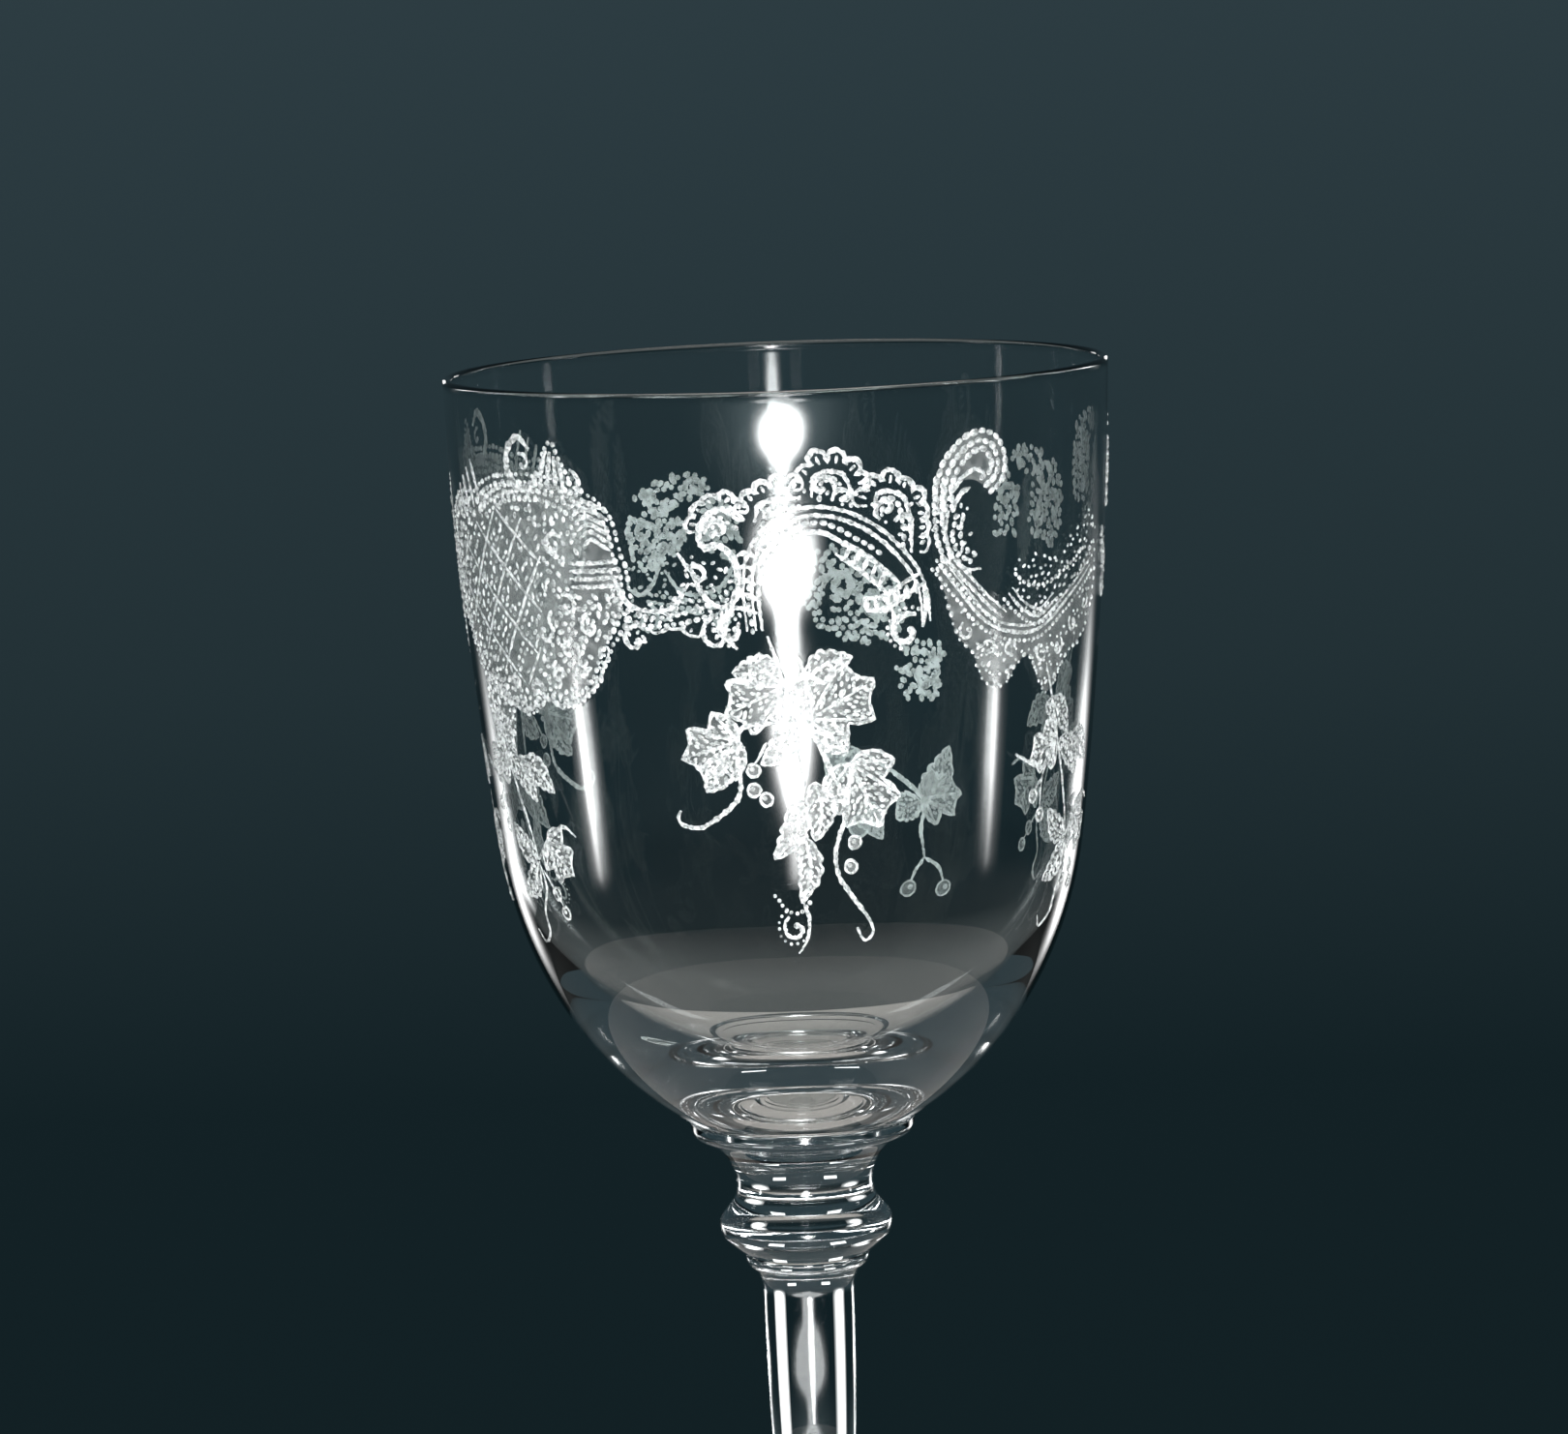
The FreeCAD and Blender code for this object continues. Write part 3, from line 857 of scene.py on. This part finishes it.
def centre_spray(art):
    """The front spray: ivy, small leaves and berries on trailing stems, under the arch."""
    art.line([(-3, -27.6), (-1.4, -31), (0.4, -35.6), (1.6, -40), (2.6, -45)], 0.6)
    art.line([(0, -28.2), (2.6, -31), (4.2, -35), (4.4, -38.8), (7.6, -43)], 0.5)
    leaves(art, ((ivy, (3.6, -37.4), (15.6, -33.2)), (ivy, (-0.4, -33.4), (-11, -36.6)),
        (leaf, (-2, -30.6), (-9.4, -31.8), 3.4), (leaf, (3.2, -33), (11.6, -30.4), 3),
        (ivy, (-9, -39.6), (-19.4, -41.6)), (leaf, (-12, -41), (-15.4, -45.4), 3),
        (ivy, (11, -42.6), (16.6, -50.2)), (leaf, (4.4, -44.6), (4.2, -51.4), 3.2),
        (leaf, (1.6, -46.6), (-3.4, -53.4), 2.8), (leaf, (2.2, -50.8), (1.4, -58.6), 2.6),
        (leaf, (0.6, -38.2), (-5, -42.4), 2.8), (leaf, (4.6, -38.8), (10.4, -41.6), 2.8)))
    art.line([(1.6, -37.4), (-3, -37.6), (-8, -38), (-9.4, -39.8), (-9, -43), (-9.2, -45.6), (-11, -47.2),
        (-14, -48.6), (-17, -49.6), (-20, -49.4), (-21.2, -48.6), (-20.6, -47.6)], 0.62)
    art.line([(4.4, -38.8), (7, -43), (9.6, -46), (10.5, -48), (9.2, -50.2), (8, -53), (8.6, -55.6),
        (11, -58), (13, -59.6), (15, -61.5), (15.3, -62.7), (13.6, -63.4), (12.1, -61.8)], 0.52)
    for at in ((-6.5, -43), (-6.6, -45.3), (-4.4, -46.4), (11.7, -51.8), (10.9, -54.6), (8.6, -47.6)):
        berry(art, at)
    art.line([(-4, -39.8), (-5.4, -41.4), (-6.4, -42.4)], 0.34)
    art.beads(curve([(-3.6, -57.6), (-1.4, -59.4), (0.8, -59.8), (3, -58.6)]), 0.75, 0.55)
    volute(art, (0.2, -61.6), 1.7, 120, 320, 0.5, pearls=0.42)
    art.line([(1.6, -58.4), (2.8, -60.6), (2.2, -63), (0.6, -64.6)], 0.42)


def side_spray(art):
    """A smaller spray of leaves and berries, from 46 to 79 degrees, under the swag."""
    art.line([(54, -33.6), (56.6, -38), (59, -42.4), (62, -47), (64.6, -51.4), (66, -54.8)], 0.46)
    leaves(art, ((leaf, (54.6, -38.4), (63.4, -42.4), 3), (leaf, (60.4, -43), (68.6, -47.8), 3.2),
        (leaf, (64.6, -43.4), (74.6, -46.4), 3.2), (ivy, (58.4, -43), (49.6, -44.8), 0.9)))
    art.line([(58.5, -42.4), (57, -44.6), (54, -45.8), (49, -44.6), (46, -43.7)], 0.5)
    leaves(art, ((leaf, (65.8, -54.6), (57.6, -51), 2.8), (leaf, (65.6, -55.2), (57.8, -59.4), 2.8)))
    art.line([(66, -54.8), (70, -52.6), (75.4, -50.4), (79, -51.4)], 0.5)
    ivy(art, (70, -52.4), (77.6, -56.4), 0.9)
    art.line([(66, -55), (67.2, -58), (64.6, -61), (64, -63.6), (60.4, -65), (58.6, -63.6)], 0.42)
    for at in ((52, -49), (54.6, -51.4), (70.6, -58.6), (72.4, -60.8)):
        berry(art, at)
    art.line([(57, -44.6), (54.6, -47), (54.4, -50.6)], 0.34)
    art.line([(54.6, -47), (52.6, -48.2)], 0.34)
    art.line([(67.2, -56), (69.4, -57.6), (72, -60)], 0.34)


def far_curls(art):
    """Mottled curls on the far side, behind the arch."""
    mottle(art, [(176, -26.6), (170, -25.4), (162, -27), (156.4, -31), (157, -36), (163, -37.6), (170, -36.4),
        (176, -33)])
    mottle(art, [(147, -38), (150, -36.6), (156, -37.6), (157.6, -41), (154, -44.6), (148, -43.6)])
    volutes(art, (((168.6, -30.6), 2.4, 0, 300), ((161.6, -33), 2, 90, -300), ((151.6, -41), 2.8, 60, 330)),
        0.9, 1.2)


def trailing_stem(art):
    """A stem with leaves that ends in a pair of berries, on the far side."""
    art.line([(166, -50.4), (157.3, -53.5), (151, -56.6), (151, -60.3), (149.5, -63.6)], 0.6)
    art.line([(149.5, -63.6), (151.4, -65.4), (152, -67)], 0.5)
    art.line([(149.5, -63.6), (145.6, -64.6), (143.4, -66.6)], 0.5)
    leaves(art, ((leaf, (151.5, -56.2), (145, -49.8), 3.6), (leaf, (151.5, -56.8), (157, -59), 3.2)))
    berry(art, (165.5, -60), 2.6)
    leaves(art, ((leaf, (163, -57), (160, -61.5), 2.6), (ivy, (150.6, -56.4), (141.6, -55.4)),
        (leaf, (166, -50.4), (172, -55), 3.4)))
    berry(art, (152.2, -68), 2.4)
    berry(art, (142.6, -67.8), 2.4)


def etched(name, pale, dark, alpha, grain):
    """White acid-etched glass: a rough pale surface with fine clear gaps. alpha is its least and most."""
    material, tree, shader, _ = new_material(name)
    settings(shader, {"Roughness": 0.45, "IOR": 1.5, "Coat Weight": 0.9, "Coat Roughness": 0.22})
    noise = noise_colour(tree, shader, grain, 4, dark, pale, roughness=0.65, span=(0.35, 0.6))
    cover = tree.nodes.new("ShaderNodeMapRange")
    settings(cover, {"From Min": 0.3, "From Max": 0.55, "To Min": alpha[0], "To Max": alpha[1]})
    tree.links.new(noise, cover.inputs["Value"])
    tree.links.new(cover.outputs["Result"], shader.inputs["Alpha"])
    return material


# In the order of the slots for lines, frost, the lines' undersides and the frost's undersides. The two
# underside materials are darker copies of the front ones: painted shade on the ornament seen from inside the
# bowl through the far wall.
ETCHES = (
    etched("etched_line", (0.88, 0.91, 0.91), (0.3, 0.33, 0.33), (0.3, 1.0), 1500),
    etched("etched_frost", (0.62, 0.66, 0.65), (0.3, 0.33, 0.33), (0.0, 0.22), 700),
    etched("etched_line_underside_painted_shade", (0.54, 0.56, 0.55), (0.32, 0.33, 0.32), (0.25, 0.8), 700),
    etched("etched_frost_underside_painted_shade", (0.42, 0.43, 0.42), (0.2, 0.21, 0.2), (0.0, 0.24), 450),
)

# Each piece lists its motifs as (drawing, turn in degrees, rise in mm, flip).
ORNAMENT = {
    "etched_lattice_panels": ((lattice_panel, 0, 0, 1), (lattice_panel, -58, 0, 1)),
    "etched_scrolls": ((garland, 0, 0, 1), (scroll_cluster, 219.5, -7, 1), (garland, 219.5, -6, 1),
                       (scroll_cluster, 104.5, -4, -1), (garland, 110, 1, 1), (scroll_cluster, 118, 2, 1)),
    "etched_arches": ((arch, 0, 0, 1),),
    "etched_swags": ((swag, 0, 0, 1), (tall_curl, 0, 0, 1), (far_curls, 0, 0, 1)),
    "etched_centre_sprays": ((centre_spray, 0, 0, 1), (centre_spray, 246, -3, 1)),
    "etched_side_sprays": ((side_spray, 0, 0, 1), (side_spray, -124, 0, 1), (trailing_stem, 0, 0, 1),
                           (side_spray, 48, 0, 1), (side_spray, 205, 0, 1)),
}
for name, motifs in ORNAMENT.items():
    etching = Etching(name)
    for draw, turn, rise, flip in motifs:
        etching.place(turn, rise, flip)
        draw(etching)
    etching.built(ETCHES)

# ---- stage
FLOOR_RADIUS, FLOOR_DROP, FLOOR_DEPTH = 0.13, 0.0002, 0.08   # metres
FLOOR_SEGMENTS = 256


def floor_mesh():
    """A round pale card with a faint mottle. Its top lies just under the foot."""
    n = FLOOR_SEGMENTS
    angles = [2 * math.pi * k / n for k in range(n)]
    ring = [(FLOOR_RADIUS * math.cos(a), FLOOR_RADIUS * math.sin(a)) for a in angles]
    verts = [(x, y, z) for z in (-FLOOR_DROP, -FLOOR_DEPTH) for x, y in ring]
    side = [[k, k + n, (k + 1) % n + n, (k + 1) % n] for k in range(n)]
    mesh = bpy.data.meshes.new("floor")
    mesh.from_pydata(verts, [], [list(range(n))] + side)
    material, tree, shader, _ = new_material("floor")
    settings(shader, {"Roughness": 0.8})
    noise_colour(tree, shader, 40, 6, (0.74, 0.67, 0.62), (0.8, 0.73, 0.68))
    mesh.materials.append(material)
    return mesh


floor = linked("floor", floor_mesh())

# The backdrop's colour by how steeply a ray looks down: the ray's z, and the colour there
BACKDROP = ((-0.6, (0.09, 0.099, 0.099)), (-0.42, (0.09, 0.099, 0.099)),
            (-0.3, (0.0058, 0.0135, 0.016)), (-0.18, (0.0068, 0.0155, 0.019)),
            (-0.12, (0.0165, 0.0305, 0.0362)), (0.00, (0.0285, 0.049, 0.0585)))

world = bpy.data.worlds.new("world")
world.use_nodes = True
tree = world.node_tree
ray = tree.nodes.new("ShaderNodeTexCoord")
split = tree.nodes.new("ShaderNodeSeparateXYZ")
span = tree.nodes.new("ShaderNodeMapRange")
shade = tree.nodes.new("ShaderNodeValToRGB")
lowest, level = BACKDROP[0][0], BACKDROP[-1][0]
settings(span, {"From Min": lowest, "From Max": level})
stops = shade.color_ramp.elements
for z, colour in BACKDROP[1:-1]:
    stops.new((z - lowest) / (level - lowest))
for stop, (z, colour) in zip(stops, BACKDROP):
    stop.color = (*colour, 1)
tree.links.new(ray.outputs["Generated"], split.inputs[0])
tree.links.new(split.outputs[2], span.inputs["Value"])
tree.links.new(span.outputs["Result"], shade.inputs["Fac"])
tree.links.new(shade.outputs["Color"], tree.nodes["Background"].inputs["Color"])
bpy.context.scene.world = world


def maths(tree, operation, a, b):
    """The output of a Math node. a and b are numbers or sockets."""
    node = tree.nodes.new("ShaderNodeMath")
    node.operation = operation
    for socket, value in zip(node.inputs, (a, b)):
        if isinstance(value, (int, float)):
            socket.default_value = value
        else:
            tree.links.new(value, socket)
    return node.outputs[0]


def bell(tree, place, middle, width):
    """A bell curve of place, 1 at the middle."""
    off = maths(tree, "DIVIDE", maths(tree, "SUBTRACT", place, middle), width)
    return maths(tree, "POWER", math.e, maths(tree, "MULTIPLY", maths(tree, "MULTIPLY", off, off), -1.0))


def lamp(name, at, aim, size, power, colour=(1, 1, 1), fade=()):
    """A rectangular softbox, brightest at soft spots.

    Each spot in fade is its middle and width across, its middle and width up, and its strength. The
    middles and widths are shares of the softbox, from its left and from its bottom.
    """
    data = bpy.data.lights.new(name, "AREA")
    data.shape = "RECTANGLE"
    data.size, data.size_y = size
    data.energy = power
    data.color = colour
    softbox = linked(name, data)
    softbox.location = at
    softbox.rotation_euler = (Vector(aim) - Vector(at)).to_track_quat("-Z", "Y").to_euler()
    softbox.visible_camera = False
    if fade:
        data.use_nodes = True
        tree = data.node_tree
        face = tree.nodes.new("ShaderNodeNewGeometry")
        across_up = tree.nodes.new("ShaderNodeSeparateXYZ")
        tree.links.new(face.outputs["Parametric"], across_up.inputs[0])
        across, up = across_up.outputs[0], across_up.outputs[1]
        total = 0.0
        for middle_x, width_x, middle_y, width_y, strength in fade:
            spot = maths(tree, "MULTIPLY", bell(tree, across, middle_x, width_x),
                         bell(tree, up, middle_y, width_y))
            total = maths(tree, "ADD", total, maths(tree, "MULTIPLY", spot, strength))
        tree.links.new(total, tree.nodes["Emission"].inputs["Strength"])
    return softbox


def round_the_glass(azimuth, height):
    """A place 0.7 m from the axis, at azimuth degrees from the front to the right."""
    angle = math.radians(azimuth)
    return 0.7 * math.sin(angle), -0.7 * math.cos(angle), height


# The key is in front and lower than the foot. Its image is the streak down the near wall.
lamp("key", (0.02, -0.95, -0.14), (0.02, 0, -0.14), (0.5, 0.4), 4.8,
     fade=((0.5, 0.15, 0.855, 0.026, 26.0), (0.5, 0.19, 0.65, 0.045, 40.0), (0.5, 0.085, 0.5, 0.25, 11.0),
           (0.5, 0.15, 0.36, 0.07, 22.0)))
lamp("glow", (0.02, -0.97, 0.0), (0.02, 0, 0.0), (1.4, 0.16), 0.6, (0.82, 1.0, 1.04),
     fade=((0.5, 0.2, 0.5, 0.25, 1.5),))
lamp("key_high", (0.02, -0.95, 0.2), (0.02, 0, 0.2), (0.4, 0.12), 0.9, fade=((0.5, 0.07, 0.5, 0.2, 16.0),))
# The side lamps make narrow streaks. The edge lamps light the outline, and the rim lamps the rim's ends.
for name, side, side_power, edge_power in (("left", -1, 1.05, 0.4), ("right", 1, 0.42, 0.65)):
    lamp("side_" + name, round_the_glass(82 * side, -0.12), (0, 0, -0.12), (0.16, 0.2), side_power,
         fade=((0.5, 0.11, 0.74, 0.19, 4.5), (0.5, 0.28, 0.66, 0.22, 0.7)))
    lamp("edge_" + name, round_the_glass(148 * side, -0.06), (0, 0, -0.06), (0.22, 0.26), edge_power,
         fade=((0.5, 0.28, 0.4, 0.25, 2.2),))
    lamp("rim_" + name, round_the_glass(165 * side, 0.2), (0, 0, 0.2), (0.1, 0.1), 0.06)
# These three only light the ornament and the floor. They don't show in the glass.
for fill in (lamp("front", (0.0, -0.95, 0.25), (0, 0, 0.15), (0.4, 0.4), 1.3),
             lamp("back", (0.0, 0.95, 0.25), (0, 0, 0.12), (0.6, 0.5), 1.6),
             lamp("top", (0.0, 0.1, 0.9), (0, 0, 0.0), (0.6, 0.6), 4.2)):
    fill.visible_glossy = False
    fill.visible_transmission = False

# ---- camera
CAMERA_AHEAD, CAMERA_ABOVE_RIM = 0.8, 0.0606   # metres
LOOK_DOWN, ROLL, YAW = 7.28, -2.12, 0.0324     # degrees
camera = bpy.data.cameras.new("camera")
camera.sensor_width = 36
camera.lens = 157.044
camera.clip_start = 0.01
view = linked("camera", camera)
view.matrix_world = (Matrix.Translation((0, -CAMERA_AHEAD, rim_height * MM + CAMERA_ABOVE_RIM))
                     @ Matrix.Rotation(math.radians(YAW), 4, "Z")
                     @ Matrix.Rotation(math.radians(90 - LOOK_DOWN), 4, "X")
                     @ Matrix.Rotation(math.radians(ROLL), 4, "Z"))

scene = bpy.context.scene
scene.camera = view
scene.view_settings.view_transform = "Standard"
scene.cycles.max_bounces = 24
scene.cycles.transmission_bounces = 24
scene.cycles.glossy_bounces = 12
scene.cycles.transparent_max_bounces = 48
